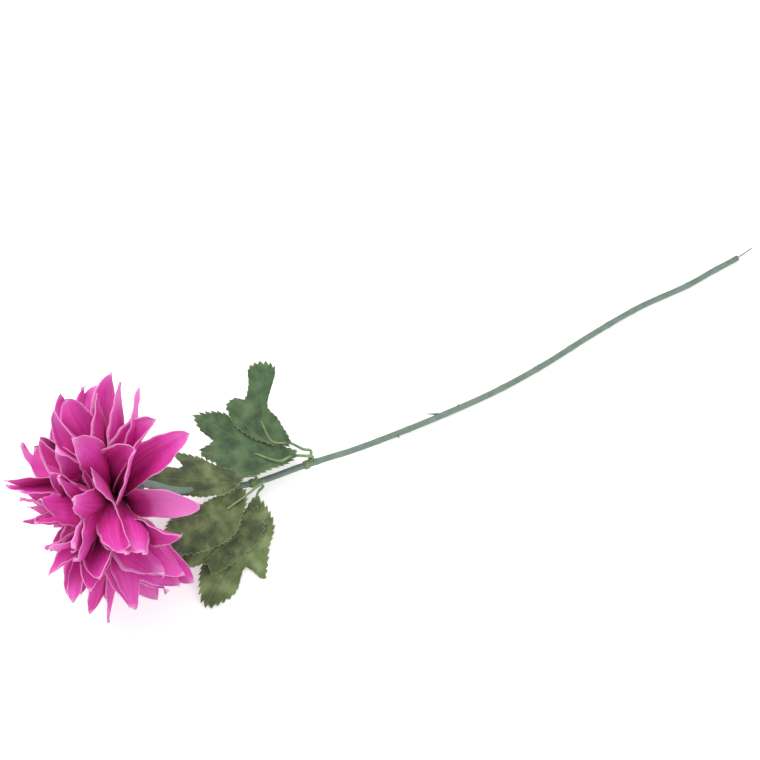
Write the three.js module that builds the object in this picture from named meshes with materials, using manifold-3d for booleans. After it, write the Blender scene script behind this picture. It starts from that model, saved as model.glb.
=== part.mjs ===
// An artificial chrysanthemum stem, lying down. Millimetres, +Z up, the stem along +X, the face of the head along -X.
// The bloom is ten die-cut fabric rosettes threaded on a plastic post, with a washer between each two, held at the
// back by a moulded cup and at the front by a button. The stem is a plastic coat on a steel wire, and two clipped-on
// sprigs carry six fabric leaves. Modelled about the foot of the cup, then moved so that the origin is the middle of
// the underside of the whole.
import * as THREE from 'three'
import { mergeVertices } from 'three/addons/utils/BufferGeometryUtils.js'
import Module from 'manifold-3d'

const wasm = await Module()
wasm.setup()

// Driving dimensions
const HEAD_HEIGHT = 72 // the head's axis above the surface that it lies on
const FIT_GAP = 0.35 // clear space between pieces that touch
const FABRIC = 0.7 // thickness of the stiffened petal cloth
const LEAF_FABRIC = 0.9

const WIRE_RADIUS = 0.65
const COAT_RADIUS = 2.35
const COAT_BORE = 1.3
const COAT_START = 8.5 // from the stem line's start, inside the cup
const STEM_STEPS = 70 // equal steps from the coat's start to the wire's cut end
const BARE_STEPS = 2 // of those, the last ones are bare wire, about 15 mm

const CUP_RIM_RADIUS = 10.5
const CUP_RIM_PLACE = -0.8
const CUP_DEPTH = 13
const CUP_NECK_RADIUS = 4.1
const CUP_WALL = 1.3

const POST_RADIUS = 1.6
const LAYER_PITCH = 2.4
const WASHER_RADIUS = 4.2
const HUB_RADIUS = 5 // the bonded middle of each layer, a little thicker than its cloth
const HUB_THICKNESS = 1
const WASHER_THICKNESS = LAYER_PITCH - HUB_THICKNESS - 2 * FIT_GAP

// Petal layers from the back of the head to its heart: how many petals, how long and wide, and how far each layer
// opens from the face's direction, in degrees. The last value turns the first petal round the post.
const LAYERS = [
  { petals: 11, length: 79, width: 24, open: 121, turn: 105 },
  { petals: 11, length: 79, width: 24, open: 110, turn: 107 },
  { petals: 10, length: 78, width: 24, open: 99, turn: 138 },
  { petals: 10, length: 77, width: 23, open: 88, turn: 101 },
  { petals: 9, length: 75, width: 23, open: 77, turn: 140 },
  { petals: 9, length: 73, width: 22, open: 66, turn: 118 },
  { petals: 8, length: 71, width: 21, open: 55, turn: 96 },
  { petals: 7, length: 68, width: 19, open: 43, turn: 130 },
  { petals: 6, length: 63, width: 18, open: 31, turn: 85 },
  { petals: 5, length: 58, width: 15, open: 19, turn: 110 },
]
const UNDERSIDE_CLOSING = 0.2 // the petals below are pushed this share further towards the face
const FLATTEN_BELOW = 24 // petals are pressed flat below this height

const X = new THREE.Vector3(1, 0, 0)
const radians = THREE.MathUtils.degToRad
const part = new THREE.Group()

const cloth = (colour) => ({ color: colour, roughness: 0.75, metalness: 0 })
const plastic = (colour) => ({ color: colour, roughness: 0.45, metalness: 0 })
const LOOKS = {
  steel: { color: 0x9a9a9c, roughness: 0.35, metalness: 1 },
  coat: plastic(0x5a7a62),
  cup: plastic(0x2f4a3c),
  post: plastic(0xdfe3d6),
  petal: cloth(0xcf3f9a),
  leaf: cloth(0x5b7a41),
  leafStalk: plastic(0x4d6f42),
}

// One closed solid from a closed three.js geometry, with its faces pointing out.
function solid(geometry) {
  const plain = geometry.clone()
  plain.deleteAttribute('normal')
  plain.deleteAttribute('uv')
  const merged = mergeVertices(plain, 1e-4)
  const corners = merged.index.array
  const at = (i) => new THREE.Vector3().fromBufferAttribute(merged.attributes.position, corners[i])
  let volume = 0
  for (let i = 0; i < corners.length; i += 3) volume += at(i).dot(at(i + 1).cross(at(i + 2)))
  const triVerts = Uint32Array.from(corners)
  if (volume < 0) {
    for (let i = 0; i < triVerts.length; i += 3) triVerts.subarray(i, i + 2).reverse()
  }
  const vertProperties = Float32Array.from(merged.attributes.position.array)
  return new wasm.Manifold(new wasm.Mesh({ numProp: 3, vertProperties, triVerts }))
}

// A named mesh in the part, from a manifold solid.
function addPiece(name, body, look) {
  const mesh = body.getMesh()
  const geometry = new THREE.BufferGeometry()
  geometry.setAttribute('position', new THREE.BufferAttribute(Float32Array.from(mesh.vertProperties), 3))
  geometry.setIndex(new THREE.BufferAttribute(Uint32Array.from(mesh.triVerts), 1))
  const shown = geometry.toNonIndexed()
  shown.computeVertexNormals()
  const piece = new THREE.Mesh(shown, new THREE.MeshStandardMaterial(look))
  piece.name = name
  part.add(piece)
}

// Joined solids, without the slivers under a hundredth of a millimetre that a join can leave.
const join = (bodies) => bodies.reduce((all, one) => all.add(one)).simplify(0.01)

// Moves each vertex of a geometry with a function of its place.
function bend(geometry, move) {
  const places = geometry.attributes.position
  const point = new THREE.Vector3()
  for (let i = 0; i < places.count; i++) {
    point.fromBufferAttribute(places, i)
    const to = move(point)
    places.setXYZ(i, to.x, to.y, to.z)
  }
  return geometry
}

// A shape turned about the head's axis: profile points are [forward, radius], forward being towards the face.
function turned(profile, sides) {
  const points = profile.map(([forward, radius]) => new THREE.Vector2(radius, forward))
  return new THREE.LatheGeometry(points, sides).rotateZ(Math.PI / 2).translate(0, 0, HEAD_HEIGHT)
}

// ---- Stem: a curve from inside the cup to the cut end, with the height falling to the surface.
const STEM_PLACES = [
  [3, 0, 72],
  [12, 0, 72],
  [17, -0.9, 70],
  [31, -4, 54],
  [54, -2, 28],
  [90, -7, 14.5],
  [125, -9, 10.5],
  [147, -11, 8.4],
  [165, -13, 7],
  [203, -15, 4.4],
  [242, -16.4, 3],
  [282, -16.8, 2.45],
  [324, -14, 2.4],
  [369, -8.2, 2.4],
  [413, -4.3, 2.4],
  [456, -4.8, 2.4],
  [479, -3, 2.4],
  [502, -1.6, 2.4],
  [517.4, 0.7, 2.45],
]
const stemLine = new THREE.CatmullRomCurve3(STEM_PLACES.map((place) => new THREE.Vector3(...place)))
const stemLength = stemLine.getLength()

// The stretch of the stem's line between two distances from its start.
class Stretch extends THREE.Curve {
  constructor(from, to) {
    super()
    this.from = from / stemLength
    this.to = to / stemLength
  }
  getPoint(share, target = new THREE.Vector3()) {
    return target.copy(stemLine.getPointAt(THREE.MathUtils.lerp(this.from, this.to, share)))
  }
}

function circle(radius, sides) {
  return Array.from({ length: sides }, (_, i) => {
    const turn = (2 * Math.PI * i) / sides
    return new THREE.Vector2(radius * Math.cos(turn), radius * Math.sin(turn))
  })
}

function tube(curve, radius, sides, steps, bore = 0) {
  const section = new THREE.Shape(circle(radius, sides))
  if (bore) section.holes.push(new THREE.Path(circle(bore, 6).reverse()))
  return new THREE.ExtrudeGeometry(section, { extrudePath: curve, steps })
}

const step = (stemLength - COAT_START) / STEM_STEPS
const wireLine = new Stretch(COAT_START - step, stemLength)
const coatLine = new Stretch(COAT_START, stemLength - BARE_STEPS * step)
addPiece('stem_wire', solid(tube(wireLine, WIRE_RADIUS, 6, STEM_STEPS + 1)), LOOKS.steel)

// A small moulded nub on the coat, at a distance along the stem, standing on its side and leaning along it.
function nub(along, radius, length, side, lean) {
  const at = stemLine.getPointAt(along / stemLength).addScaledVector(side.normalize(), COAT_RADIUS - 0.4)
  const spike = new THREE.ConeGeometry(radius, length, 5).translate(0, length / 2, 0)
  const turn = new THREE.Quaternion().setFromUnitVectors(new THREE.Vector3(0, 1, 0), lean.normalize())
  return solid(spike.applyQuaternion(turn).translate(at.x, at.y, at.z))
}
const coat = join([
  solid(tube(coatLine, COAT_RADIUS, 8, STEM_STEPS - BARE_STEPS, COAT_BORE)),
  nub(258, 0.9, 10, new THREE.Vector3(-0.2, 0.7, 0.7), new THREE.Vector3(-0.9, 0.35, 0.25)),
  nub(222, 1, 3, new THREE.Vector3(0, -0.95, 0.3), new THREE.Vector3(0.2, -1, 0.3)),
])
addPiece('stem_sheath', coat, LOOKS.coat)

// ---- Cup, post, washers and button of the head.
const cupProfile = [
  [CUP_RIM_PLACE, CUP_RIM_RADIUS],
  [-4, CUP_RIM_RADIUS - 1.2],
  [-9, CUP_NECK_RADIUS + 2],
  [-CUP_DEPTH, CUP_NECK_RADIUS],
  [-CUP_DEPTH, COAT_RADIUS + FIT_GAP + 0.6],
  [-8, COAT_RADIUS + FIT_GAP + 0.9],
  [-3.5, CUP_RIM_RADIUS - 2.6 - CUP_WALL],
  [-1.6, CUP_RIM_RADIUS - 0.5 - CUP_WALL],
  [CUP_RIM_PLACE, CUP_RIM_RADIUS],
]
addPiece('calyx', solid(turned(cupProfile, 24)), LOOKS.cup)

const postFront = LAYERS.length * LAYER_PITCH + 1
const postProfile = [
  [-1.5, 0],
  [-1.5, POST_RADIUS + 2],
  [-0.2, POST_RADIUS + 2],
  [-0.2, POST_RADIUS],
  [postFront, POST_RADIUS],
  [postFront, 0],
]
addPiece('head_post', solid(turned(postProfile, 12)), LOOKS.post)

const layerPlace = (index) => 0.9 + index * LAYER_PITCH
LAYERS.slice(1).forEach((_, index) => {
  const back = layerPlace(index) + HUB_THICKNESS / 2 + FIT_GAP
  const front = back + WASHER_THICKNESS
  const bore = POST_RADIUS + FIT_GAP
  const ring = [
    [back, bore],
    [back, WASHER_RADIUS],
    [front, WASHER_RADIUS],
    [front, bore],
    [back, bore],
  ]
  const number = String(index + 1).padStart(2, '0')
  addPiece(`petal_spacer_${number}`, solid(turned(ring, 10)), LOOKS.post)
})

const capBack = postFront + FIT_GAP
const capProfile = [
  [capBack, 0],
  [capBack, 3.6],
  [capBack + 1.5, 3.3],
  [capBack + 3, 2],
  [capBack + 3.6, 0],
]
addPiece('centre_cap', solid(turned(capProfile, 12)), LOOKS.petal)

// ---- Petals. Every petal of a layer follows one line, given as forward and outward distances from the post, so
// the layers nest. The line leaves the post square, turns to the layer's opening angle, and curls out at its end.
function petalLine(layer, index, closing) {
  const open = layer.open * (1 - closing)
  const turnStart = 1.5 + 0.35 * (LAYERS.length - index)
  const turnEnd = turnStart + 16 + 1.6 * (LAYERS.length - index)
  const steps = 48
  const line = [{ forward: layerPlace(index), out: HUB_RADIUS - 1.5, angle: 90 }]
  const step = layer.length / steps
  for (let i = 1; i <= steps; i++) {
    const along = (i - 0.5) * step
    const curl = 14 * (along / layer.length) ** 3
    const angle = 90 + (open - 90) * THREE.MathUtils.smoothstep(along, turnStart, turnEnd) + curl
    const last = line[i - 1]
    line.push({
      forward: last.forward + step * Math.cos(radians(angle)),
      out: last.out + step * Math.sin(radians(angle)),
      angle,
    })
  }
  return (along) => {
    const place = THREE.MathUtils.clamp(along / step, 0, steps - 1e-6)
    const low = Math.floor(place)
    const blend = (key) => THREE.MathUtils.lerp(line[low][key], line[low + 1][key], place - low)
    return { forward: blend('forward'), out: blend('out'), angle: radians(blend('angle')) }
  }
}

// How wide a petal is along its length, as a share of its full width: a narrow foot, then a pointed leaf shape.
const petalWidth = (share) => 0.3 + 0.7 * Math.sin(Math.PI * Math.min(1, 0.12 + 0.9 * share) ** 1.15) ** 0.8

// The small unevenness of a hand-spread bloom, one smooth push for the whole head, so neighbours move together.
function unevenness(point) {
  const reach = Math.hypot(point.x, point.y, point.z - HEAD_HEIGHT)
  const share = 4.5 * THREE.MathUtils.smoothstep(reach, 12, 60)
  return point.add(
    new THREE.Vector3(
      Math.sin(point.y / 17 + 1.3) + Math.sin(point.z / 14),
      Math.sin(point.z / 19 + 0.4) + Math.sin(point.x / 15 + 2),
      Math.sin(point.x / 16 + 1) + Math.sin(point.y / 18 + 2.6),
    ).multiplyScalar(share / 2),
  )
}

function petal(layer, index, number) {
  const sector = (2 * Math.PI) / layer.petals
  const centreTurn = radians(layer.turn) + number * sector
  const closing = (UNDERSIDE_CLOSING * (1 - Math.sin(centreTurn))) / 2
  const follow = petalLine(layer, index, closing)
  const shortening = 1 - 0.09 * Math.abs(Math.sin(7.3 * number + 2.1 * index))
  const box = new THREE.BoxGeometry(2, 1, FABRIC, 2, 4, 1)
  return bend(box, (point) => {
    const share = (point.y + 0.5) ** 1.25
    const line = follow(share * layer.length * shortening)
    const halfWidth = (layer.width / 2) * petalWidth(share)
    const turn = centreTurn + point.x * Math.min(halfWidth / line.out, 0.44 * sector)
    const crease = Math.min(1.6, 2.2 * share) * (1 - Math.abs(point.x))
    const raise = point.z - crease
    const out = line.out + raise * -Math.cos(line.angle)
    const forward = line.forward + raise * Math.sin(line.angle)
    return unevenness(new THREE.Vector3(-forward, out * Math.cos(turn), HEAD_HEIGHT + out * Math.sin(turn)))
  })
}

// Petals that would reach below the surface are pressed flat on it, the lowest one touching it.
function pressFlat(geometries) {
  const lowest = Math.min(
    ...geometries.map((geometry) => {
      geometry.computeBoundingBox()
      return geometry.boundingBox.min.z
    }),
  )
  const span = FLATTEN_BELOW - lowest
  const firmness = -lowest / span ** 2
  geometries.forEach((geometry) =>
    bend(geometry, (point) => {
      const under = Math.max(0, FLATTEN_BELOW - point.z)
      if (under > 0) point.z = FLATTEN_BELOW - under + firmness * under ** 2
      return point
    }),
  )
}

const petals = LAYERS.map((layer, index) =>
  Array.from({ length: layer.petals }, (_, number) => petal(layer, index, number)),
)
pressFlat(petals.flat())
LAYERS.forEach((layer, index) => {
  const back = layerPlace(index) - HUB_THICKNESS / 2
  const front = back + HUB_THICKNESS
  const bore = POST_RADIUS + FIT_GAP
  const hub = [
    [back, bore],
    [back, HUB_RADIUS],
    [front, HUB_RADIUS],
    [front, bore],
    [back, bore],
  ]
  const rosette = join([solid(turned(hub, 12)), ...petals[index].map(solid)])
  addPiece(`petal_layer_${String(index + 1).padStart(2, '0')}`, rosette, LOOKS.petal)
})

// ---- Leaves. An outline is a closed smooth line through [degrees from the leaf's axis, distance from its middle].
// The blade lies in the plane of axis and face, and sinks to both sides of its axis by a fold, in mm per mm.
const LEAVES = [
  {
    name: 'upper_leaf_1', middle: [112, 30, 39], axis: [0.08, 0.92, 0.39], face: [-0.06, -0.38, 0.92], fold: 0.1,
    outline: [
      [-155, 29], [-127, 14], [-80, 8], [-42, 31], [-29, 33], [-10, 29], [-5, 20],
      [22, 12], [36, 17], [57, 20], [77, 17], [101, 16], [129, 15], [165, 18],
    ],
  },
  {
    name: 'upper_leaf_2', middle: [92, 12, 29], axis: [-0.68, 0.71, 0.16], face: [0, -0.13, 0.99], fold: 0.05,
    outline: [
      [-162, 30], [-139, 18], [-86, 12], [-45, 24], [-17, 34], [-7, 28], [3, 18],
      [21, 24], [33, 21], [50, 17], [70, 19], [100, 16], [136, 15], [172, 20],
    ],
  },
  {
    name: 'lower_leaf_1', middle: [57, 7, 34], axis: [-0.86, 0.48, 0.17], face: [0.42, 0.02, 0.91], fold: 0.06,
    outline: [
      [-165, 20], [-120, 12], [-75, 16], [-45, 24], [-35, 14], [-12, 24], [0, 34],
      [14, 31], [35, 18], [80, 10], [140, 12],
    ],
  },
  {
    name: 'lower_leaf_2', middle: [46, -26, 30], axis: [-0.95, -0.1, 0.2], face: [0.2, -0.36, 0.91], fold: 0.08,
    outline: [
      [-165, 30], [-120, 12], [-60, 11], [-25, 22], [0, 29], [14, 28], [40, 20],
      [80, 15], [130, 17],
    ],
  },
  {
    name: 'lower_leaf_3', middle: [46, -38, 15], axis: [-0.99, -0.1, 0.1], face: [0.1, -0.3, 0.95], fold: 0.06,
    outline: [
      [-168, 36], [-142, 16], [-70, 12], [-25, 26], [-11, 30], [8, 24], [34, 14],
      [52, 18], [63, 17], [92, 15], [129, 17], [161, 28],
    ],
  },
  {
    name: 'lower_leaf_4', middle: [60, -46, 8.2], axis: [-0.77, -0.62, -0.12], face: [0.02, -0.27, 0.96], fold: 0.07,
    outline: [
      [-172, 36], [152, 27], [118, 18], [91, 19], [62, 24], [40, 12], [18, 28],
      [-3, 42], [-16, 39], [-47, 24], [-75, 11], [-120, 10], [-160, 24],
    ],
  },
]

// The distance from the leaf's middle to its edge in a direction, a smooth cyclic line through the outline.
function edgeOf(outline) {
  const sorted = [...outline].sort((a, b) => a[0] - b[0])
  const points = sorted.map(([angle, reach]) => {
    return new THREE.Vector3(reach * Math.cos(radians(angle)), reach * Math.sin(radians(angle)), 0)
  })
  return new THREE.CatmullRomCurve3(points, true, 'centripetal')
}

const LEAF_SIDES = 40
function leaf({ middle, axis, face, fold, outline }) {
  const half = LEAF_FABRIC / 2
  const disc = [
    [-half, 0],
    [-half, 0.55],
    [-half, 1],
    [half, 1],
    [half, 0.55],
    [half, 0],
  ].map(([height, radius]) => new THREE.Vector2(radius, height))
  const edge = edgeOf(outline)
  const along = new THREE.Vector3(...axis).normalize()
  const up = new THREE.Vector3(...face)
  up.addScaledVector(along, -up.dot(along)).normalize()
  const across = new THREE.Vector3().crossVectors(up, along)
  return bend(new THREE.LatheGeometry(disc, LEAF_SIDES), (point) => {
    const radius = Math.hypot(point.x, point.z)
    const share = (Math.atan2(point.z, point.x) / (2 * Math.PI) + 1) % 1
    const rim = edge.getPoint(share)
    const forward = rim.x * radius
    const side = rim.y * radius
    return new THREE.Vector3(...middle)
      .addScaledVector(along, forward)
      .addScaledVector(across, side)
      .addScaledVector(up, point.y - fold * Math.abs(side))
  })
}
LEAVES.forEach((blade) => addPiece(blade.name, solid(leaf(blade)), LOOKS.leaf))

// ---- Sprigs: a split collar pushed over the stem, with a stalk from it to the foot of each leaf.
const COLLAR_BORE = COAT_RADIUS + 2 * FIT_GAP
const COLLAR_WALL = 1.1
const COLLAR_LENGTH = 4
const STALK_RADIUS = 1.1

// Each stalk leaves its collar on a side of the stem, and then runs through its places.
const SPRIGS = [
  {
    name: 'upper_leaf_frame', along: 152,
    stalks: [
      { side: [0, 0.75, 0.66], places: [[132, -1, 18], [124.5, 3.5, 26]] },
      { side: [0, 0.05, 1], places: [[130, -6, 18], [121, -5, 24]] },
    ],
  },
  {
    name: 'lower_leaf_frame', along: 110,
    stalks: [
      { side: [0.1, 0.3, 0.95], places: [[87, -3.5, 22], [78, -1, 24]] },
      { side: [0.2, -0.8, 0.5], places: [[87, -14, 20], [80, -18, 24]] },
      { side: [-0.2, -0.7, -0.7], places: [[90, -13.5, 12], [86, -17.5, 12.5]] },
    ],
  },
]

function sprig({ along, stalks }) {
  const at = stemLine.getPointAt(along / stemLength)
  const tangent = stemLine.getTangentAt(along / stemLength)
  const ring = [
    [COLLAR_BORE, -COLLAR_LENGTH / 2],
    [COLLAR_BORE + COLLAR_WALL, -COLLAR_LENGTH / 2],
    [COLLAR_BORE + COLLAR_WALL, COLLAR_LENGTH / 2],
    [COLLAR_BORE, COLLAR_LENGTH / 2],
    [COLLAR_BORE, -COLLAR_LENGTH / 2],
  ].map(([radius, height]) => new THREE.Vector2(radius, height))
  const turn = new THREE.Quaternion().setFromUnitVectors(new THREE.Vector3(0, 1, 0), tangent)
  const collar = new THREE.LatheGeometry(ring, 12).applyQuaternion(turn).translate(at.x, at.y, at.z)
  const arms = stalks.map(({ side, places }) => {
    const out = new THREE.Vector3(...side)
    out.addScaledVector(tangent, -out.dot(tangent)).normalize()
    const root = at.clone().addScaledVector(out, COLLAR_BORE + STALK_RADIUS)
    const curve = new THREE.CatmullRomCurve3([root, ...places.map((place) => new THREE.Vector3(...place))])
    return solid(tube(curve, STALK_RADIUS, 6, 6))
  })
  return join([solid(collar), ...arms])
}
SPRIGS.forEach((one) => addPiece(one.name, sprig(one), LOOKS.leafStalk))

// The origin goes to the middle of the underside of the whole.
const box = new THREE.Box3().setFromObject(part)
const middle = box.getCenter(new THREE.Vector3())
part.children.forEach((piece) => piece.geometry.translate(-middle.x, -middle.y, -box.min.z))

export default part
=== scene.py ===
# %% [markdown]
# # An artificial chrysanthemum, lying down
# The imported construction comes first, as a fixed frame: every piece below is made in that frame, in
# metres, and rides on its one body. A helper reads the box of any of its parts.

# %% Load the frame
import math
import random
import bmesh
import bpy
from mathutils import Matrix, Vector, noise


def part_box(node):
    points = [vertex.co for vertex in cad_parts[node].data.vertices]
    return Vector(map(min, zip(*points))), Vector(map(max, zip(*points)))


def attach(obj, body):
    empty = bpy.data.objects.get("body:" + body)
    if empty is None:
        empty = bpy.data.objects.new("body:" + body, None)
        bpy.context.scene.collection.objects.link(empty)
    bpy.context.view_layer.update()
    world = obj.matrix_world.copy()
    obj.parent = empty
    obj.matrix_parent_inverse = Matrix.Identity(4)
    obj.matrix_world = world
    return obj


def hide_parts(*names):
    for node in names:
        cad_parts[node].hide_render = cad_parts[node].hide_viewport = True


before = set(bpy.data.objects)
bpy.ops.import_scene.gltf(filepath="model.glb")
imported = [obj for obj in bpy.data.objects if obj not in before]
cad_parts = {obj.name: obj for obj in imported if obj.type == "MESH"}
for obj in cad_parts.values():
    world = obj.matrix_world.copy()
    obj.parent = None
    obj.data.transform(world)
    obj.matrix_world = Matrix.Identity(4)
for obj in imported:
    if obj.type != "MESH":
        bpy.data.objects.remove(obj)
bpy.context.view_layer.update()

MM = 0.001
scene = bpy.context.scene

# %% [markdown]
# ## Places
# The bloom was designed about the foot of its green cup, so the same point is found again from the cup's
# box. A place given in millimetres from that foot, with heights from the surface, is then easy to read
# and to change.

# %% The foot of the cup
HEAD_HEIGHT = 72
CUP_DEPTH = 13
low, high = (Vector(corner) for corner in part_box("calyx"))
foot = Vector((high.x - CUP_DEPTH * MM, (low.y + high.y) / 2, (low.z + high.z) / 2 - HEAD_HEIGHT * MM))


def place(x, y, z):
    return foot + Vector((x, y, z)) * MM


print("foot of the cup", [round(v, 4) for v in foot])

# %% [markdown]
# ## Camera
# The view looks down on the lying flower from the front left, steeply, through a long lens. Azimuth and
# elevation say where the camera stands; a long lens from further off keeps the far end of the stem nearly
# as thick as it is.

# %% Camera
AZIMUTH, ELEVATION, LENS, DISTANCE = -28, 60, 90, 1.4
around, above = math.radians(AZIMUTH), math.radians(ELEVATION)
level = math.cos(above)
towards_camera = Vector((math.sin(around) * level, -math.cos(around) * level, math.sin(above)))
camera = bpy.data.objects.new("camera", bpy.data.cameras.new("camera"))
scene.collection.objects.link(camera)
camera.data.lens = LENS
camera.data.clip_start = 0.05
camera.location = place(211.7, 32.7, 0) + towards_camera * DISTANCE
camera.rotation_euler = towards_camera.to_track_quat("Z", "Y").to_euler()
scene.camera = camera
print("camera", [round(v, 3) for v in camera.location])

# %% [markdown]
# ## Floor and light
# A pale floor, lit a little from below, and a bright, even world stand for a light tent. One broad lamp
# from above the far side gives the petals a light side and a shaded side, and a smaller one fills from
# the front.

# %% Floor and lights
scene.view_settings.view_transform = "Standard"
world = bpy.data.worlds.new("light tent")
scene.world = world
world.use_nodes = True
world.node_tree.nodes["Background"].inputs["Color"].default_value = (1, 1, 1, 1)
world.node_tree.nodes["Background"].inputs["Strength"].default_value = 0.75


def floor_of(size):
    bm = bmesh.new()
    bmesh.ops.create_grid(bm, x_segments=1, y_segments=1, size=size)
    mesh = bpy.data.meshes.new("floor")
    bm.to_mesh(mesh)
    bm.free()
    floor = bpy.data.objects.new("floor", mesh)
    scene.collection.objects.link(floor)
    paint = bpy.data.materials.new("floor paint")
    paint.use_nodes = True
    shader = paint.node_tree.nodes["Principled BSDF"]
    shader.inputs["Base Color"].default_value = (0.93, 0.93, 0.93, 1)
    shader.inputs["Roughness"].default_value = 0.9
    shader.inputs["Emission Color"].default_value = (1, 1, 1, 1)
    shader.inputs["Emission Strength"].default_value = 0.4
    mesh.materials.append(paint)
    return floor


def lamp(name, position, aim, size, power):
    light = bpy.data.lights.new(name, "AREA")
    light.shape = "DISK"
    light.size = size
    light.energy = power
    one = bpy.data.objects.new(name, light)
    scene.collection.objects.link(one)
    one.location = position
    one.rotation_euler = (Vector(position) - Vector(aim)).to_track_quat("Z", "Y").to_euler()


floor_of(6)
lamp("key", (-0.5, 0.6, 1.5), (0, 0, 0), 0.9, 16)
lamp("fill", (0.6, -1.6, 1.3), (0, 0, 0), 1.4, 9)

# %% [markdown]
# ## Finishing a piece
# Every new piece ends the same way: its mesh is put in an object that sits at the origin, smooth-shaded,
# riding on the body, with the material that it is made of, and the construction solids that it covers
# are hidden.


# %% Finish a piece
def finish(name, bm, material, replaced, thickness=0.0):
    mesh = bpy.data.meshes.new(name)
    bm.to_mesh(mesh)
    bm.free()
    mesh.materials.append(material)
    mesh.polygons.foreach_set("use_smooth", [True] * len(mesh.polygons))
    piece = bpy.data.objects.new(name, mesh)
    scene.collection.objects.link(piece)
    if thickness:
        wall = piece.modifiers.new("cloth", "SOLIDIFY")
        wall.thickness = thickness * MM
        wall.offset = 0
    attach(piece, "root")
    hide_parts(*replaced)
    print(name, len(mesh.vertices), "vertices")
    return piece


# %% [markdown]
# ## Material helpers
# All the finishes are node graphs. These helpers keep them readable: one makes a material with its main
# shader, one adds a node and sets its values, and one adds a bump from a height.


# %% Material helpers
def new_material(name, roughness, sheen=0.0):
    material = bpy.data.materials.new(name)
    material.use_nodes = True
    shader = material.node_tree.nodes["Principled BSDF"]
    shader.inputs["Roughness"].default_value = roughness
    shader.inputs["Sheen Weight"].default_value = sheen
    return material, material.node_tree, shader


def add(tree, kind, **values):
    node = tree.nodes.new(kind)
    for key, value in values.items():
        if hasattr(node, key):
            setattr(node, key, value)
        else:
            node.inputs[key.replace("_", " ")].default_value = value
    return node


def ramp(tree, factor, stops):
    node = tree.nodes.new("ShaderNodeValToRGB")
    elements = node.color_ramp.elements
    while len(elements) < len(stops):
        elements.new(0.5)
    for element, (at, colour) in zip(elements, stops):
        element.position = at
        element.color = (*colour, 1)
    tree.links.new(factor, node.inputs["Fac"])
    return node.outputs["Color"]


def mix(tree, factor, first, second, blend="MIX"):
    node = tree.nodes.new("ShaderNodeMix")
    node.data_type = "RGBA"
    node.blend_type = blend
    sockets = (node.inputs[0], node.inputs[6], node.inputs[7])
    for socket, value in zip(sockets, (factor, first, second)):
        if isinstance(value, bpy.types.NodeSocket):
            tree.links.new(value, socket)
        else:
            socket.default_value = value if isinstance(value, float) else (*value, 1)
    return node.outputs[2]


def maths(tree, operation, first, second=0.0, third=0.0):
    node = tree.nodes.new("ShaderNodeMath")
    node.operation = operation
    for socket, value in zip(node.inputs, (first, second, third)):
        if isinstance(value, bpy.types.NodeSocket):
            tree.links.new(value, socket)
        else:
            socket.default_value = value
    return node.outputs[0]


def bump(tree, shader, height, strength, distance=0.0003):
    node = add(tree, "ShaderNodeBump", Strength=strength, Distance=distance)
    tree.links.new(height, node.inputs["Height"])
    tree.links.new(node.outputs["Normal"], shader.inputs["Normal"])


def noise_of(tree, source, scale, detail=2.0):
    node = add(tree, "ShaderNodeTexNoise", Scale=scale, Detail=detail)
    tree.links.new(source, node.inputs["Vector"])
    return node.outputs["Fac"]
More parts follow.
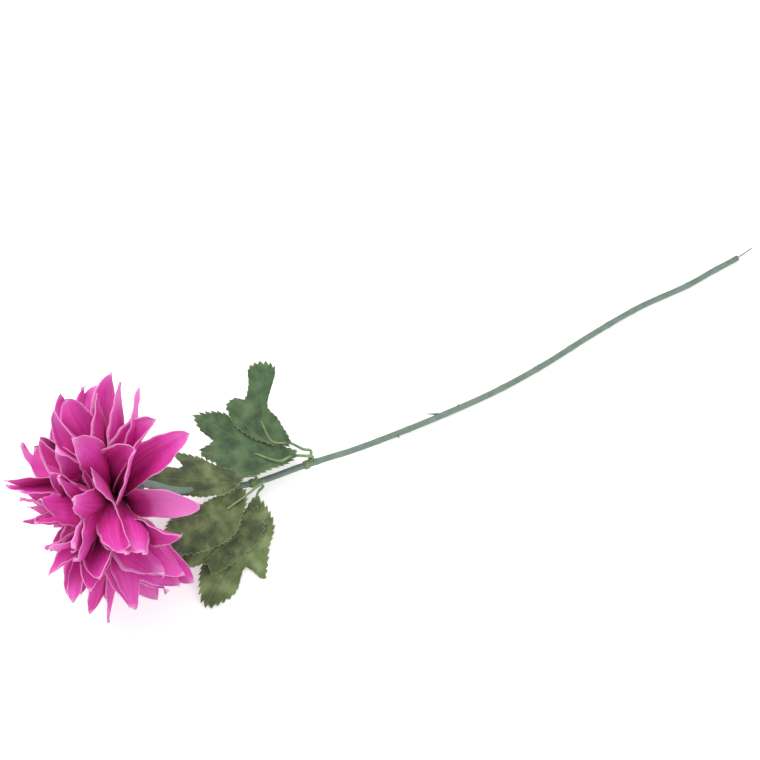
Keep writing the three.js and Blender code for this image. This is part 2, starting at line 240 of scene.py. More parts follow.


# %% [markdown]
# ## Petal cloth
# The petals are cut from polyester that was dyed in a gradient: deep magenta where they were stacked,
# and orchid pink towards the tip. A nearly white line at the sides and the tip is a painted highlight.
# The colours follow each petal's own map, u across and v along it, so they turn and curl with the cloth.
# A tone attribute makes some petals paler.


# %% Petal cloth
def petal_cloth():
    material, tree, shader = new_material("petal cloth", 0.62, sheen=0.08)
    link = tree.links.new
    uv = add(tree, "ShaderNodeUVMap", uv_map="petal")
    split = tree.nodes.new("ShaderNodeSeparateXYZ")
    link(uv.outputs["UV"], split.inputs["Vector"])
    across, along = split.outputs["X"], split.outputs["Y"]
    thing = add(tree, "ShaderNodeTexCoord").outputs["Object"]
    tone = add(tree, "ShaderNodeAttribute", attribute_name="tone").outputs["Fac"]
    from_middle = maths(tree, "MULTIPLY", maths(tree, "ABSOLUTE", maths(tree, "SUBTRACT", across, 0.5)), 2)

    # The dye's gradient, shifted a little by a soft unevenness and by the petal's tone.
    cloud = noise_of(tree, thing, 60, 3)
    shifted = maths(tree, "ADD", along, maths(tree, "MULTIPLY", maths(tree, "SUBTRACT", cloud, 0.5), 0.5))
    shifted = maths(tree, "ADD", shifted, maths(tree, "MULTIPLY", maths(tree, "SUBTRACT", tone, 0.5), 0.9))
    dye = ramp(
        tree,
        shifted,
        [
            (0.0, (0.33, 0.0, 0.11)),
            (0.3, (0.51, 0.002, 0.20)),
            (0.62, (0.61, 0.013, 0.30)),
            (0.85, (0.68, 0.05, 0.40)),
            (1.0, (0.76, 0.17, 0.54)),
        ],
    )

    # Fine pressed veins run the length of the petal as thin lighter and darker threads.
    threads = add(tree, "ShaderNodeCombineXYZ")
    link(maths(tree, "MULTIPLY", across, 26), threads.inputs["X"])
    link(maths(tree, "MULTIPLY", along, 1.6), threads.inputs["Y"])
    link(maths(tree, "MULTIPLY", tone, 40), threads.inputs["Z"])
    streaks = noise_of(tree, threads.outputs["Vector"], 1.0, 3)
    veined = mix(tree, maths(tree, "MULTIPLY", streaks, 0.55), dye, (0.80, 0.26, 0.60), "MIX")
    streaked = ramp(tree, streaks, [(0.36, (0, 0, 0)), (0.62, (1, 1, 1))])
    body = mix(tree, maths(tree, "MULTIPLY", streaked, 0.5), dye, veined)

    # Painted highlight: a pale, uneven line at both sides and at the tip.
    rim_wobble = noise_of(tree, thing, 900, 2)
    side = maths(tree, "ADD", from_middle, maths(tree, "MULTIPLY", maths(tree, "SUBTRACT", rim_wobble, 0.5), 0.14))
    tip = maths(tree, "ADD", along, maths(tree, "MULTIPLY", maths(tree, "SUBTRACT", rim_wobble, 0.5), 0.06))
    side_highlight = ramp(tree, side, [(0.90, (0, 0, 0)), (0.985, (1, 1, 1))])
    tip_highlight = ramp(tree, tip, [(0.955, (0, 0, 0)), (0.995, (1, 1, 1))])
    pale_rim = maths(tree, "MAXIMUM", side_highlight, tip_highlight)
    # The painted highlight is mixed over the petal's colour.
    highlighted = mix(tree, maths(tree, "MULTIPLY", pale_rim, 0.75), body, (0.86, 0.44, 0.72))
    link(highlighted, shader.inputs["Base Color"])

    # The weave: two crossed fine ribs, with the threads of the veins under them.
    weave = add(tree, "ShaderNodeTexWave", bands_direction="DIAGONAL", Scale=700.0, Distortion=1.5)
    link(thing, weave.inputs["Vector"])
    ribs = maths(tree, "MULTIPLY", weave.outputs["Fac"], 0.25)
    height = maths(tree, "ADD", ribs, maths(tree, "MULTIPLY", streaks, 0.9))
    bump(tree, shader, height, 0.5)
    shader.inputs["Sheen Tint"].default_value = (1.0, 0.75, 0.92, 1)
    shader.inputs["Sheen Roughness"].default_value = 0.4
    shader.inputs["Specular IOR Level"].default_value = 0.4
    return material


PETAL_CLOTH = petal_cloth()
print("made", PETAL_CLOTH.name)

# %% [markdown]
# ## Leaf cloth
# The leaves are the same kind of cloth in green: a printed ground that goes from blue-green to olive,
# pale ribs pressed into it, and a thin lighter cut at the teeth.


# %% Leaf cloth
def leaf_cloth(name, ground, deep, pale):
    material, tree, shader = new_material(name, 0.55, sheen=0.1)
    link = tree.links.new
    uv = add(tree, "ShaderNodeUVMap", uv_map="leaf")
    split = tree.nodes.new("ShaderNodeSeparateXYZ")
    link(uv.outputs["UV"], split.inputs["Vector"])
    rib, reach = split.outputs["X"], split.outputs["Y"]
    thing = add(tree, "ShaderNodeTexCoord").outputs["Object"]
    cloud = noise_of(tree, thing, 90, 5)
    printed = ramp(tree, cloud, [(0.34, deep), (0.5, ground), (0.68, pale)])
    ribbed = mix(tree, ramp(tree, rib, [(0.55, (0, 0, 0)), (0.95, (0.55, 0.55, 0.55))]), printed, pale)
    rim_wobble = noise_of(tree, thing, 700, 2)
    rim = maths(tree, "ADD", reach, maths(tree, "MULTIPLY", maths(tree, "SUBTRACT", rim_wobble, 0.5), 0.05))
    pale_rim = ramp(tree, rim, [(0.965, (0, 0, 0)), (0.995, (0.5, 0.5, 0.5))])
    top = mix(tree, pale_rim, ribbed, (0.42, 0.48, 0.28))
    link(top, shader.inputs["Base Color"])
    weave = add(tree, "ShaderNodeTexWave", bands_direction="DIAGONAL", Scale=600.0, Distortion=1.0)
    link(thing, weave.inputs["Vector"])
    ribs = maths(tree, "MULTIPLY", weave.outputs["Fac"], 0.2)
    height = maths(tree, "ADD", ribs, maths(tree, "MULTIPLY", cloud, 0.6))
    bump(tree, shader, height, 0.5)
    shader.inputs["Specular IOR Level"].default_value = 0.35
    return material


LEAF_GREEN = leaf_cloth("leaf cloth green", (0.058, 0.115, 0.045), (0.030, 0.062, 0.028), (0.105, 0.17, 0.07))
LEAF_OLIVE = leaf_cloth("leaf cloth olive", (0.085, 0.115, 0.04), (0.042, 0.058, 0.025), (0.17, 0.21, 0.085))
LEAF_LIGHT = leaf_cloth("leaf cloth light", (0.135, 0.19, 0.065), (0.075, 0.11, 0.04), (0.22, 0.29, 0.12))
print("made three leaf cloths")


# %% [markdown]
# ## Moulded plastic and steel
# The stem's coat, the stalks and the cup are moulded plastic with a satin skin: a faint mottle in the
# colour and long drawn marks in the surface. The bare wire is drawn steel with a faint, uneven stain.


# %% Plastics and steel
def moulded(name, colour, lighter, roughness=0.48):
    material, tree, shader = new_material(name, roughness)
    thing = add(tree, "ShaderNodeTexCoord").outputs["Object"]
    mottle = noise_of(tree, thing, 160, 4)
    tree.links.new(ramp(tree, mottle, [(0.35, colour), (0.7, lighter)]), shader.inputs["Base Color"])
    stretched = add(tree, "ShaderNodeMapping", Scale=(60.0, 900.0, 900.0))
    tree.links.new(thing, stretched.inputs["Vector"])
    bump(tree, shader, noise_of(tree, stretched.outputs["Vector"], 1.0, 2), 0.35, 0.0002)
    return material


COAT = moulded("stem coat", (0.13, 0.19, 0.15), (0.18, 0.245, 0.20))
STALK = moulded("leaf stalk", (0.13, 0.22, 0.095), (0.24, 0.33, 0.15))
CUP = moulded("cup plastic", (0.025, 0.055, 0.04), (0.05, 0.10, 0.07), 0.4)
POST = moulded("post plastic", (0.62, 0.64, 0.56), (0.72, 0.74, 0.68))


def drawn_steel():
    material, tree, shader = new_material("drawn steel", 0.35)
    shader.inputs["Metallic"].default_value = 1.0
    thing = add(tree, "ShaderNodeTexCoord").outputs["Object"]
    stain = noise_of(tree, thing, 400, 3)
    grey = ramp(tree, stain, [(0.3, (0.30, 0.30, 0.31)), (0.7, (0.52, 0.52, 0.54))])
    tree.links.new(grey, shader.inputs["Base Color"])
    bump(tree, shader, stain, 0.2, 0.0001)
    return material


STEEL = drawn_steel()
print("made", COAT.name, STALK.name, CUP.name, POST.name, STEEL.name)

# %% [markdown]
# ## Inner parts
# The post, the washers between the petal layers and the button in the heart are right as they are
# constructed, and mostly out of sight. They only take a better finish.

# %% Inner parts
inner = ["head_post"] + [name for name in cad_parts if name.startswith("petal_spacer")]
for name in inner:
    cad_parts[name].data.materials.clear()
    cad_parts[name].data.materials.append(POST)
print("finished", len(inner), "inner parts")

# %% [markdown]
# ## Stem
# A plastic coat on a steel wire, which lies in slow bends. The route is a few places joined by a smooth
# curve. A ring of points is extruded along it, ring by ring, so that the tube stays closed and its bends
# stay round.

# %% The stem's route
STEM_PLACES = [
    (3, 0, 72), (12, 0, 72), (17, -0.9, 70), (31, -4, 54), (54, -2, 28), (90, -7, 14.5), (125, -9, 10.5),
    (147, -11, 8.4), (165, -13, 7), (203, -15, 4.4), (242, -16.4, 3), (282, -16.8, 2.45), (324, -14, 2.4),
    (369, -8.2, 2.4), (413, -4.3, 2.4), (456, -4.8, 2.4), (479, -3, 2.4), (502, -1.6, 2.4),
    (517.4, 0.7, 2.45),
]


def smooth_line(places, closed=False, per_span=24):
    """Points of the centripetal Catmull-Rom curve through the places."""
    points = [Vector(p) for p in places]
    if closed:
        points = [points[-1]] + points + points[:2]
    else:
        points = [2 * points[0] - points[1]] + points + [2 * points[-1] - points[-2]]
    line = []
    for p0, p1, p2, p3 in zip(points, points[1:], points[2:], points[3:]):
        t0, t1, t2 = (max((b - a).length ** 0.5, 1e-6) for a, b in ((p0, p1), (p1, p2), (p2, p3)))
        m1 = ((p1 - p0) / t0 - (p2 - p0) / (t0 + t1) + (p2 - p1) / t1) * t1
        m2 = ((p2 - p1) / t1 - (p3 - p1) / (t1 + t2) + (p3 - p2) / t2) * t1
        for i in range(per_span):
            t = i / per_span
            line.append(
                p1
                + m1 * t
                + (3 * (p2 - p1) - 2 * m1 - m2) * t**2
                + (2 * (p1 - p2) + m1 + m2) * t**3
            )
    if not closed:
        line.append(points[-2])
    return line


def evenly(line, gap):
    """Points a fixed gap apart along a line."""
    lengths = [0.0]
    for a, b in zip(line, line[1:]):
        lengths.append(lengths[-1] + (b - a).length)
    count = max(2, round(lengths[-1] / gap))
    spaced, at = [], 0
    for i in range(count + 1):
        wanted = lengths[-1] * i / count
        while at < len(line) - 2 and lengths[at + 1] < wanted:
            at += 1
        share = (wanted - lengths[at]) / max(lengths[at + 1] - lengths[at], 1e-9)
        spaced.append(line[at].lerp(line[at + 1], min(share, 1)))
    return spaced


STEM_GAP = 1.5
stem_line = evenly(smooth_line(STEM_PLACES), STEM_GAP)
print("stem", round(sum((b - a).length for a, b in zip(stem_line, stem_line[1:])), 1), "mm")


# %% A tube along a line
def tube(bm, line, radius_at, sides=16):
    """A closed tube along a line in millimetres; radius_at(share, turn) gives its radius."""
    tangents = [(b - a).normalized() for a, b in zip(line, line[1:])]
    tangents.append(tangents[-1])
    side = tangents[0].orthogonal().normalized()
    start = bmesh.ops.create_circle(bm, cap_ends=True, segments=sides, radius=1)
    ring = start["verts"]
    edges = [edge for edge in bm.edges if all(vert in ring for vert in edge.verts)]
    for index, (centre, tangent) in enumerate(zip(line, tangents)):
        side = (side - tangent * side.dot(tangent)).normalized()
        other = tangent.cross(side)
        if index:
            grown = bmesh.ops.extrude_edge_only(bm, edges=edges)
            ring = [vert for vert in grown["geom"] if isinstance(vert, bmesh.types.BMVert)]
            new_edges = [edge for edge in grown["geom"] if isinstance(edge, bmesh.types.BMEdge)]
            edges = [edge for edge in new_edges if all(vert in ring for vert in edge.verts)]
        share = index / (len(line) - 1)
        for number, vert in enumerate(ring):
            turn = 2 * math.pi * number / sides
            radius = radius_at(share, turn)
            vert.co = place(*(centre + (side * math.cos(turn) + other * math.sin(turn)) * radius))
    bmesh.ops.holes_fill(bm, edges=edges)


def spike(bm, at, lean, radius, length):
    """A small cone rooted at a place in millimetres."""
    cone = bmesh.ops.create_cone(
        bm, cap_ends=True, segments=8, radius1=radius * MM, radius2=radius * 0.25 * MM, depth=length * MM
    )
    turn = Vector(lean).to_track_quat("Z", "Y").to_matrix()
    bmesh.ops.translate(bm, verts=cone["verts"], vec=(0, 0, length * MM / 2))
    bmesh.ops.rotate(bm, verts=cone["verts"], matrix=turn, cent=(0, 0, 0))
    bmesh.ops.translate(bm, verts=cone["verts"], vec=place(*at))


# %% [markdown]
# ## Coat, nubs and wire
# The coat comes from a two-part mould, so it is slightly ribbed along, has small rings where the mould's
# blocks met, and carries nubs where side shoots would be. Its cut end closes round the wire, which sticks
# out bare.

# %% Coat and wire
COAT_RADIUS, WIRE_RADIUS, BARE_WIRE = 2.35, 0.65, 15
COAT_START = 8.5
# Small rings along the coat, in millimetres from its start.
KNOTS = [150, 198, 222, 253, 301, 331, 362, 398, 421, 470, 497]
coat_line = stem_line[round(COAT_START / STEM_GAP): -round(BARE_WIRE / STEM_GAP)]
coat_length = len(coat_line) * STEM_GAP


def coat_radius(share, turn):
    at = share * coat_length
    knot = sum(math.exp(-((at - knot) / 1.6) ** 2) for knot in KNOTS)
    ribs = 0.05 * math.cos(2 * turn) + 0.03 * math.cos(5 * turn + at / 40)
    waver = 0.07 * noise.noise(Vector((at / 9, 0, 3)))
    return COAT_RADIUS - 0.03 - 0.16 * share + ribs + waver + 0.2 * knot


def nub(bm, along, side, lean, radius, length):
    centre = coat_line[round(along / STEM_GAP)]
    root = centre + Vector(side).normalized() * (COAT_RADIUS - 0.6)
    spike(bm, root, lean, radius, length)


def wire_radius(share, turn):
    """The wire keeps its radius, and is pinched over the last bit by the cutter."""
    return WIRE_RADIUS * (1 - 5 * max(0, share - 0.93))


bm = bmesh.new()
tube(bm, coat_line, coat_radius, sides=20)
nub(bm, 248, (-0.2, 0.7, 0.7), (-0.9, 0.35, 0.25), 1.0, 10)
nub(bm, 212, (0, -0.95, 0.3), (0.2, -1, 0.3), 1.1, 3)
nub(bm, 262, (0, 0.5, 0.85), (0.4, 0.5, 0.9), 0.8, 2.2)
nub(bm, 331, (0, 0.6, 0.8), (0.6, 0.5, 0.8), 0.7, 1.8)
nub(bm, 398, (0, 0.4, 0.9), (0.5, 0.5, 0.9), 0.6, 1.6)
bmesh.ops.recalc_face_normals(bm, faces=bm.faces)
finish("stem_coat", bm, COAT, ["stem_sheath"])

bm = bmesh.new()
tube(bm, stem_line[-round(BARE_WIRE / STEM_GAP) - 4:], wire_radius, sides=12)
bmesh.ops.recalc_face_normals(bm, faces=bm.faces)
finish("bare_wire", bm, STEEL, ["stem_wire"])

# %% [markdown]
# ## Cup
# The green cup is turned about the head's axis: a short neck on the stem that flares to a rim, with six
# blunt sepals. Its profile is spun into a shell, and the rim's points are then pushed back between the
# sepals.


# %% Cup
def cup():
    profile = [
        (13.6, 0.4), (13.4, 2.6), (12.6, 3.5), (10.5, 4.4), (8, 6.1), (5.5, 8.3), (3, 9.9), (0.9, 10.5),
    ]
    bm = bmesh.new()
    verts = [bm.verts.new((x * MM, 0, radius * MM)) for x, radius in profile]
    edges = [bm.edges.new(pair) for pair in zip(verts, verts[1:])]
    bmesh.ops.spin(
        bm, geom=verts + edges, cent=(0, 0, 0), axis=(1, 0, 0), angle=2 * math.pi, steps=72, use_merge=True
    )
    bmesh.ops.remove_doubles(bm, verts=bm.verts, dist=0.00002)
    for vert in bm.verts:
        turn = math.atan2(vert.co.z, vert.co.y)
        rim = max(0.0, 1 - vert.co.x / (9 * MM))
        lobe = 0.5 + 0.5 * math.cos(6 * turn)
        vert.co.x -= (1.6 * lobe - 0.6) * rim**2 * MM
        vert.co.yz *= 1 + 0.05 * lobe * rim
        vert.co.x += 0.5 * MM * noise.noise(vert.co * 90)
    bmesh.ops.translate(bm, verts=bm.verts, vec=place(0, 0, HEAD_HEIGHT))
    bmesh.ops.recalc_face_normals(bm, faces=bm.faces)
    finish("green_cup", bm, CUP, ["calyx"], thickness=1.0)


cup()

# %% [markdown]
# ## The lines that petals follow
# Each layer of petals is one rosette of cloth with its petals evenly round the post. A petal's middle
# line leaves the post square, turns to its layer's opening angle, and curls out at its end. The opening
# is measured from the way that the bloom faces: past 90 degrees the petals sweep back over the cup.

# %% Layers and petal lines
FIRST_LAYER, LAYER_PITCH, HUB_RADIUS = 0.9, 2.4, 5
LAYERS = [  # petals, length, width, opening in degrees, turn of the first petal in degrees
    (11, 79, 24, 121, 105),
    (11, 79, 24, 110, 107),
    (10, 78, 24, 99, 138),
    (10, 77, 23, 88, 101),
    (9, 75, 23, 77, 140),
    (9, 73, 22, 66, 118),
    (8, 71, 21, 55, 96),
    (7, 68, 19, 43, 130),
    (6, 63, 18, 31, 85),
    (5, 58, 15, 19, 110),
]
UNDERSIDE_CLOSING = 0.2
STATIONS = 34


def smoothstep(value, start, end):
    share = min(max((value - start) / (end - start), 0), 1)
    return share * share * (3 - 2 * share)


def petal_line(index, length, opening):
    """A petal's middle line: forward and outward distances from the post, and direction, at each station."""
    turn_start = 1.5 + 0.35 * (len(LAYERS) - index)
    turn_end = turn_start + 16 + 1.6 * (len(LAYERS) - index)
    forward, out = FIRST_LAYER + index * LAYER_PITCH, HUB_RADIUS - 1.5
    step = length / STATIONS
    line = [(forward, out, math.pi / 2)]
    for number in range(1, STATIONS + 1):
        along = (number - 0.5) * step
        curl = 14 * (along / length) ** 3
        angle = math.radians(90 + (opening - 90) * smoothstep(along, turn_start, turn_end) + curl)
        forward += step * math.cos(angle)
        out += step * math.sin(angle)
        line.append((forward, out, angle))
    return line


def unevenness(point):
    """The uneven spread of a bloom that was opened by hand, in millimetres about the foot of the cup."""
    reach = (point - Vector((0, 0, HEAD_HEIGHT))).length
    share = 4.5 / 2 * smoothstep(reach, 12, 60)
    x, y, z = point
    return point + share * Vector((
        math.sin(y / 17 + 1.3) + math.sin(z / 14),
        math.sin(z / 19 + 0.4) + math.sin(x / 15 + 2),
        math.sin(x / 16 + 1) + math.sin(y / 18 + 2.6),
    ))


FLATTEN_BELOW, LOWEST, RESTING = 24, -16, 0.4


def pressed(point):
    """Points that would reach below the surface are pressed flat on it."""
    under = max(0, FLATTEN_BELOW - point.z)
    span = FLATTEN_BELOW - LOWEST
    firmness = (RESTING - LOWEST) / span**2
    if under:
        point.z = max(RESTING * 0.6, FLATTEN_BELOW - under + firmness * under**2)
    return point


print("petals", sum(layer[0] for layer in LAYERS))

# %% [markdown]
# ## One petal
# A petal starts as a flat grid whose u runs across and v along. Its outline is a narrow foot, a wide
# middle and a point. Across, it is folded along its middle crease and lifted at the sides, with pressed
# veins; along, its edges ruffle, and it rolls about its own middle, because a bloom that lies on its side
# lets its petals fall open upward.

# %% One petal
ACROSS = 16
BROADEST = 0.48  # where a petal is broadest, as a share of its length
# A petal's foot as a share of its full width; the two back layers leave the cup in sight.
FOOT_WIDTH, BACK_FOOT_WIDTH = 0.34, 0.16
LARGEST_ROLL = 1.25
VEINS = (-0.72, -0.48, -0.24, 0.24, 0.48, 0.72)
VEIN_DEPTH, CREASE_DEPTH = 0.26, 0.5  # millimetres


def outline(v, point, base):
    """A petal's half-width along it, from 0 to 1; point is 0 for a round end and 1 for a sharp one."""
    if v < BROADEST:
        return base + (1 - base) * math.sin(math.pi / 2 * v / BROADEST)
    fall = (v - BROADEST) / (1 - BROADEST)
    rounded = math.sqrt(max(0, 1 - fall**2.4))
    sharp = (1 - fall**1.7) ** 0.9
    return rounded * (1 - point) + sharp * point


def add_petal(bm, index, turn, look):
    grid = bmesh.ops.create_grid(bm, x_segments=ACROSS, y_segments=STATIONS, size=1)
    line = petal_line(index, look["length"], look["open"])
    middles, frames = [], []
    for forward, out, angle in line:
        middles.append(Vector((-forward, out * math.cos(turn), HEAD_HEIGHT + out * math.sin(turn))))
        cosine, sine = math.cos(angle), math.sin(angle)
        ahead = Vector((-cosine, sine * math.cos(turn), sine * math.sin(turn)))
        inner = Vector((-sine, -cosine * math.cos(turn), -cosine * math.sin(turn)))
        frames.append((ahead, inner))
    ahead, inner = frames[STATIONS * 2 // 3]
    up = Vector((-0.15, -0.3, 1))
    up = (up - ahead * up.dot(ahead)).normalized()
    full = math.atan2(inner.cross(up).dot(ahead), inner.dot(up))
    if abs(full) > math.pi / 2:
        full -= math.copysign(math.pi, full)
    roll = max(-LARGEST_ROLL, min(LARGEST_ROLL, full * look["fall"] + look["roll"]))
    foot_width = BACK_FOOT_WIDTH if index < 2 else FOOT_WIDTH
    uv_layer = bm.loops.layers.uv["petal"]
    tone_layer = bm.verts.layers.float["tone"]
    half = look["width"] / 2
    for vert in grid["verts"]:
        u, v = vert.co.x, (vert.co.y + 1) / 2
        row = min(STATIONS, round(v * STATIONS))
        middle, (ahead, inner) = middles[row], frames[row]
        side = ahead.cross(inner)
        swing = roll * smoothstep(v, 0.08, 0.6) + look["twist"] * v**2
        across = side * math.cos(swing) + inner * math.sin(swing)
        normal = inner * math.cos(swing) - side * math.sin(swing)
        waver = 0.035 * math.sin(17 * v + look["phase"] + u) + 0.02 * math.sin(41 * v + 2 * look["phase"])
        wide = half * outline(v, look["point"], foot_width) * (1 + waver)
        fold = look["fold"] * (0.45 + 0.55 * math.sin(math.pi * min(1, v * 1.05)))
        bent = math.sqrt(u * u + 0.012) - 0.11
        x = wide * u * math.cos(fold)
        lift = wide * bent * math.sin(fold) + look["cup"] * wide * u**4
        ruffle = look["ruffle"] * abs(u) ** 3 * smoothstep(v, 0.2, 0.6)
        lift += ruffle * math.sin(2 * math.pi * 1.9 * v + look["phase"] + (2.1 if u > 0 else 0))
        lift += 0.25 * ruffle * math.sin(2 * math.pi * 6.3 * v + 3 * look["phase"] + (1.3 if u > 0 else 0))
        vein = VEIN_DEPTH * sum(math.exp(-((u - at) / 0.055) ** 2) for at in VEINS)
        vein += CREASE_DEPTH * math.exp(-(u / 0.07) ** 2)
        lift -= vein * math.sin(math.pi * min(1, v * 1.1 + 0.05))
        tip = look["bend"] * max(0.0, v - 0.35) ** 2 * look["length"]
        point = middle + across * x + normal * (lift + tip)
        vert.co = place(*pressed(unevenness(point)))
        vert[tone_layer] = look["tone"]
        for loop in vert.link_loops:
            loop[uv_layer].uv = (u / 2 + 0.5, v)


print("petal grid", ACROSS, "by", STATIONS)

# %% [markdown]
# ## Petals that stand out
# Most petals vary by chance, with a fixed seed. Those that stand clear of the ball are set one by one, by
# layer and by number in the layer: how far they open, how long and wide they are, how they roll and how
# pale they are.

# %% Petals that stand out
SPECIAL = {
    (0, 0): {
        "open": 133, "turn": 105, "length": 90, "width": 25, "point": 0.3, "tone": 0.5, "bend": 0.1,
        "fall": 0.9,
    },
    (1, 0): {
        "open": 124, "turn": 90, "length": 78, "width": 27, "point": 0.35, "tone": 0.5, "bend": 0.1,
        "fall": 0.9,
    },
    (0, 1): {
        "open": 122, "turn": 137, "length": 83, "width": 21, "point": 0.15, "tone": 1.0,
        "roll": 0.3, "fold": 0.2,
        "bend": 0.05, "twist": 0.0, "ruffle": 0.8, "fall": 0.6,
    },
    (0, 10): {"open": 126, "turn": 86, "length": 84, "width": 17, "point": 1.0, "tone": 0.75, "twist": 0.6},
    (1, 10): {"open": 120, "turn": 74, "length": 82, "width": 18, "point": 0.9, "tone": 0.6, "twist": 0.4},
    (0, 9): {
        "open": 108, "turn": 50, "length": 84, "width": 23, "point": 0.8, "tone": 0.45, "bend": -0.1,
        "fall": 0.9,
    },
    (1, 1): {"open": 102, "turn": 158, "length": 66, "width": 26, "point": 0.5, "fold": 0.25, "tone": 0.3},
    (2, 0): {"open": 84, "turn": 140, "length": 70, "width": 28, "point": 0.5, "fold": 0.25, "tone": 0.5},
}


def look_of(index, number, layer, dice):
    count, length, width, opening, first = layer
    turn = math.radians(first) + number * 2 * math.pi / count
    closing = UNDERSIDE_CLOSING * (1 - math.sin(turn)) / 2
    look = {
        "open": opening * (1 - closing) + dice.uniform(-7, 7),
        "length": length * (1 - 0.09 * abs(math.sin(7.3 * number + 2.1 * index))) * dice.uniform(0.94, 1.04),
        "width": width * dice.uniform(1.15, 1.5),
        "point": dice.uniform(0.5, 1.0),
        "fall": dice.uniform(0.35, 0.95),
        "roll": dice.uniform(-0.5, 0.5),
        "twist": dice.uniform(-0.5, 0.5),
        "fold": dice.uniform(0.1, 0.7),
        "cup": dice.uniform(0.05, 0.5),
        "ruffle": dice.uniform(0.8, 2.6),
        "bend": dice.uniform(-0.3, 0.65),
        "tone": min(1, max(0, dice.gauss(0.42, 0.13))),
        "phase": dice.uniform(0, 6.28),
    }
    look.update(SPECIAL.get((index, number), {}))
    turn = math.radians(look.pop("turn")) if "turn" in look else turn + dice.uniform(-0.13, 0.13)
    return turn, look


# %% [markdown]
# ## The bloom
# Each layer becomes one piece: its petals and the small bonded disc at its middle. The cloth's thickness
# is added last, by a Solidify modifier, so the veins and folds stay on both sides.

# %% The bloom
dice = random.Random(14)
facing = Vector((1, 0, 0)).to_track_quat("Z", "Y").to_matrix()
for index, layer in enumerate(LAYERS):
    bm = bmesh.new()
    bm.loops.layers.uv.new("petal")
    bm.verts.layers.float.new("tone")
    for number in range(layer[0]):
        turn, look = look_of(index, number, layer, dice)
        add_petal(bm, index, turn, look)
    radius = (HUB_RADIUS - 0.4) * MM
    disc = bmesh.ops.create_circle(bm, cap_ends=True, cap_tris=True, segments=24, radius=radius)
    bmesh.ops.rotate(bm, verts=disc["verts"], matrix=facing, cent=(0, 0, 0))
    centre = place(-(FIRST_LAYER + index * LAYER_PITCH), 0, HEAD_HEIGHT)
    bmesh.ops.translate(bm, verts=disc["verts"], vec=centre)
    layer_name = f"petal_layer_{index + 1:02d}"
    finish(f"petals_{index + 1:02d}", bm, PETAL_CLOTH, [layer_name], thickness=0.35)

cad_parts["centre_cap"].data.materials.clear()
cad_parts["centre_cap"].data.materials.append(PETAL_CLOTH)

# %% [markdown]
# ## Leaves
# A leaf blade is a disc spun from one spoke, then moved to its lobed outline: each spoke's reach follows
# a smooth closed curve through a few places, and small teeth are added at the rim. Ribs run to the lobes,
# the cloth between them bulges a little, and the blade folds along its middle.

# %% Leaf outlines
LEAVES = [
    {
        "name": "upper_leaf_1", "middle": (112, 30, 39), "axis": (0.08, 0.92, 0.39),
        "face": (-0.06, -0.38, 0.92),
        "fuller": 1.12, "fold": 0.1, "cloth": LEAF_GREEN,
        "outline": [
            (-155, 29), (-127, 14), (-80, 8), (-42, 31), (-29, 33), (-10, 29), (-5, 20),
            (22, 12), (36, 17), (57, 20), (77, 17), (101, 16), (129, 15), (165, 18),
        ],
        "ribs": (-36, -20, 55),
    },
    {
        "name": "upper_leaf_2", "middle": (92, 12, 29), "axis": (-0.68, 0.71, 0.16),
        "face": (0, -0.13, 0.99),
        "fuller": 1.28, "fold": 0.05, "cloth": LEAF_GREEN,
        "outline": [
            (-162, 30), (-139, 18), (-86, 12), (-45, 24), (-17, 34), (-7, 28), (3, 18),
            (21, 24), (33, 21), (50, 17), (70, 19), (100, 16), (136, 15), (172, 20),
        ],
        "ribs": (-22, 22, 75),
    },
    {
        "name": "lower_leaf_1", "middle": (57, 1, 35), "axis": (-0.86, 0.48, 0.17),
        "face": (0.42, 0.02, 0.91),
        "fuller": 1.42, "fold": 0.06, "cloth": LEAF_OLIVE,
        "outline": [
            (-165, 20), (-120, 12), (-75, 16), (-45, 24), (-35, 14), (-12, 24), (0, 34),
            (14, 31), (35, 18), (80, 10), (140, 12),
        ],
        "ribs": (-52, 3, 40),
    },
    {
        "name": "lower_leaf_2", "middle": (46, -26, 30), "axis": (-0.95, -0.1, 0.2),
        "face": (0.2, -0.36, 0.91),
        "fuller": 1.24, "fold": 0.08, "cloth": LEAF_OLIVE,
        "outline": [
            (-165, 30), (-120, 12), (-60, 11), (-25, 22), (0, 29), (14, 28), (40, 20),
            (80, 15), (130, 17),
        ],
        "ribs": (-25, 5, 45),
    },
    {
        "name": "lower_leaf_3", "middle": (46, -38, 15), "axis": (-0.99, -0.1, 0.1),
        "face": (0.1, -0.3, 0.95),
        "fuller": 1.15, "fold": 0.06, "cloth": LEAF_OLIVE,
        "outline": [
            (-168, 36), (-142, 16), (-70, 12), (-25, 26), (-11, 30), (8, 24), (34, 14),
            (52, 18), (63, 17), (92, 15), (129, 17), (161, 28),
        ],
        "ribs": (-15, 20, 56),
    },
    {
        "name": "lower_leaf_4", "middle": (60, -46, 8.2), "axis": (-0.77, -0.62, -0.12),
        "face": (0.02, -0.27, 0.96),
        "fuller": 1.1, "fold": 0.07, "cloth": LEAF_LIGHT,
        "outline": [
            (-172, 36), (152, 27), (118, 18), (91, 19), (62, 24), (40, 12), (18, 28),
            (-3, 42), (-16, 39), (-47, 24), (-75, 11), (-120, 10), (-160, 24),
        ],
        "ribs": (-8, 62, 118),
    },
]
print("leaves", [leaf["name"] for leaf in LEAVES])

# %% Leaf blades
RINGS, SPOKES, TEETH = 16, 240, 46
SIDE_RIB_PITCH, SIDE_RIB_REACH = 6, 9


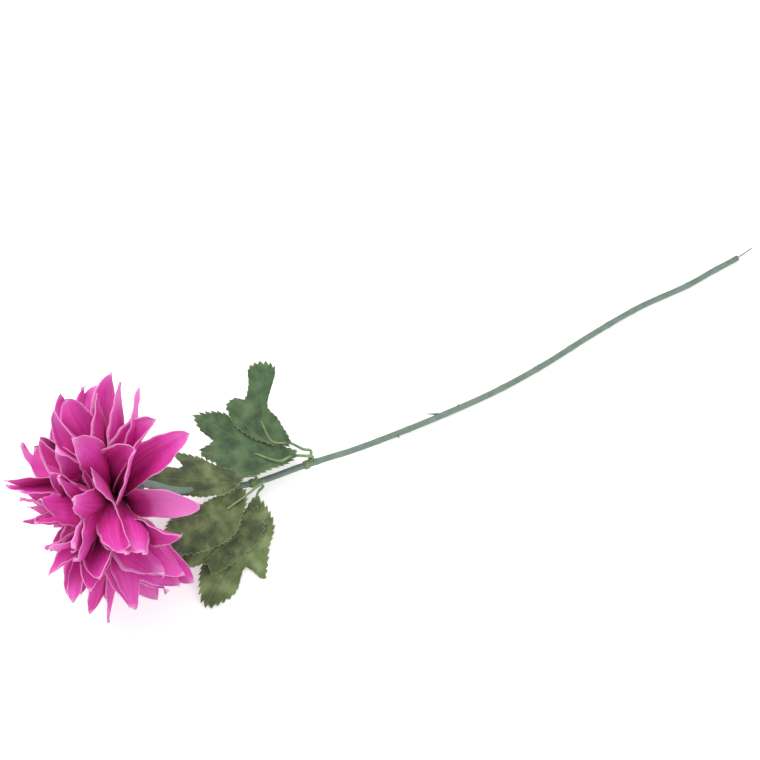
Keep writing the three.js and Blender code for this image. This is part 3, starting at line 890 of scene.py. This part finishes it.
def blade(leaf):
    rim = smooth_line(
        [
            (
                leaf["fuller"] * r * math.cos(math.radians(a)),
                leaf["fuller"] * r * math.sin(math.radians(a)),
                0,
            )
            for a, r in sorted(leaf["outline"])
        ],
        closed=True,
    )
    rim = evenly(rim + rim[:1], 0.2)
    along = Vector(leaf["axis"]).normalized()
    up = Vector(leaf["face"])
    up = (up - along * up.dot(along)).normalized()
    across = up.cross(along)
    bm = bmesh.new()
    maps = bm.loops.layers.uv.new("leaf")
    verts = [bm.verts.new((ring / RINGS, 0, 0)) for ring in range(RINGS + 1)]
    edges = [bm.edges.new(pair) for pair in zip(verts, verts[1:])]
    bmesh.ops.spin(
        bm, geom=verts + edges, cent=(0, 0, 0), axis=(0, 0, 1), angle=2 * math.pi,
        steps=SPOKES, use_merge=True,
    )
    bmesh.ops.remove_doubles(bm, verts=bm.verts, dist=1e-4)
    foot_of_blade = Vector((-24, 0, 0))
    seed = sum(ord(letter) for letter in leaf["name"]) % 17
    for vert in bm.verts:
        share = vert.co.length
        turn = (math.atan2(vert.co.y, vert.co.x) / (2 * math.pi)) % 1
        edge = rim[min(len(rim) - 1, int(turn * (len(rim) - 1)))]
        tooth = ((turn * TEETH) % 1) ** 0.8
        spot = edge * share * (1 + 0.09 * share**6 * (tooth - 0.5))
        flat = Vector((spot.x, spot.y, 0))
        from_foot = flat - foot_of_blade
        heading = math.degrees(math.atan2(from_foot.y, from_foot.x))
        reach = from_foot.length
        rib = 0.0
        for direction in leaf["ribs"]:
            tip_heading = math.radians(direction)
            tip = Vector((26 * math.cos(tip_heading), 26 * math.sin(tip_heading), 0)) - foot_of_blade
            away = abs((heading - math.degrees(math.atan2(tip.y, tip.x))) * math.pi / 180 * reach)
            side_rib = ((away * 0.9 - reach * 0.5) % SIDE_RIB_PITCH - SIDE_RIB_PITCH / 2) / 0.5
            rib = max(rib, math.exp(-((away / 0.7) ** 2)))
            rib = max(rib, 0.5 * math.exp(-(side_rib ** 2)) * (away < SIDE_RIB_REACH))
        height = -leaf["fold"] * abs(flat.y) - 0.55 * rib
        height += 1.7 * noise.noise(Vector((flat.x / 9, flat.y / 9, seed))) * (0.3 + 0.7 * share)
        height += 1.1 * share**4 * math.sin(turn * 2 * math.pi * 9 + seed)
        vert.co = place(*(Vector(leaf["middle"]) + along * flat.x + across * flat.y + up * height))
        for loop in vert.link_loops:
            loop[maps].uv = (rib, share)
    for vert in bm.verts:
        floor = foot.z + 0.3 * MM
        vert.co.z = max(vert.co.z, floor)
    bmesh.ops.recalc_face_normals(bm, faces=bm.faces)
    finish(leaf["name"] + "_blade", bm, leaf["cloth"], [leaf["name"]], thickness=0.4)


for leaf in LEAVES:
    blade(leaf)

# %% [markdown]
# ## Stalks
# Each sprig is one moulding: a collar pushed over the stem, and a stalk that runs to the foot of each
# leaf and on under the blade as its middle rib.

# %% Stalks
SPRIGS = {
    "upper": (152, [
        [(137, -3, 14), (132, -1, 18), (124.5, 3.5, 26), (113, 9, 30), (112, 24, 36)],
        [(136, -8, 14), (130, -6, 18), (121, -5, 24), (111, -6, 27.5), (98, 7, 28.3)],
    ]),
    "lower": (110, [
        [(93, -5, 18), (87, -3.5, 22), (78, -1, 25), (70, 1, 27.5)],
        [(95, -10, 16), (87, -14, 20), (80, -18, 25), (62, -23, 28.5)],
        [(95, -11, 12), (90, -13.5, 12), (86, -17.5, 11.5), (78, -27, 8.5)],
    ]),
}
STALK_RADIUS, COLLAR_RADIUS, COLLAR_STEPS = 1.1, 3.3, 2
for sprig, (along, stalks) in SPRIGS.items():
    bm = bmesh.new()
    first = round(along / STEM_GAP)
    tube(
        bm,
        stem_line[first - COLLAR_STEPS: first + COLLAR_STEPS],
        lambda share, turn: COLLAR_RADIUS - 0.5 * (abs(share - 0.5) > 0.4) + 0.08 * math.cos(3 * turn),
        sides=20,
    )
    for stalk in stalks:
        line = evenly(smooth_line([tuple(stem_line[first])] + stalk), 1.2)
        tube(bm, line, lambda share, turn: STALK_RADIUS * (1.15 - 0.6 * share), sides=10)
    bmesh.ops.recalc_face_normals(bm, faces=bm.faces)
    finish(f"{sprig}_stalks", bm, STALK, [f"{sprig}_leaf_frame"])
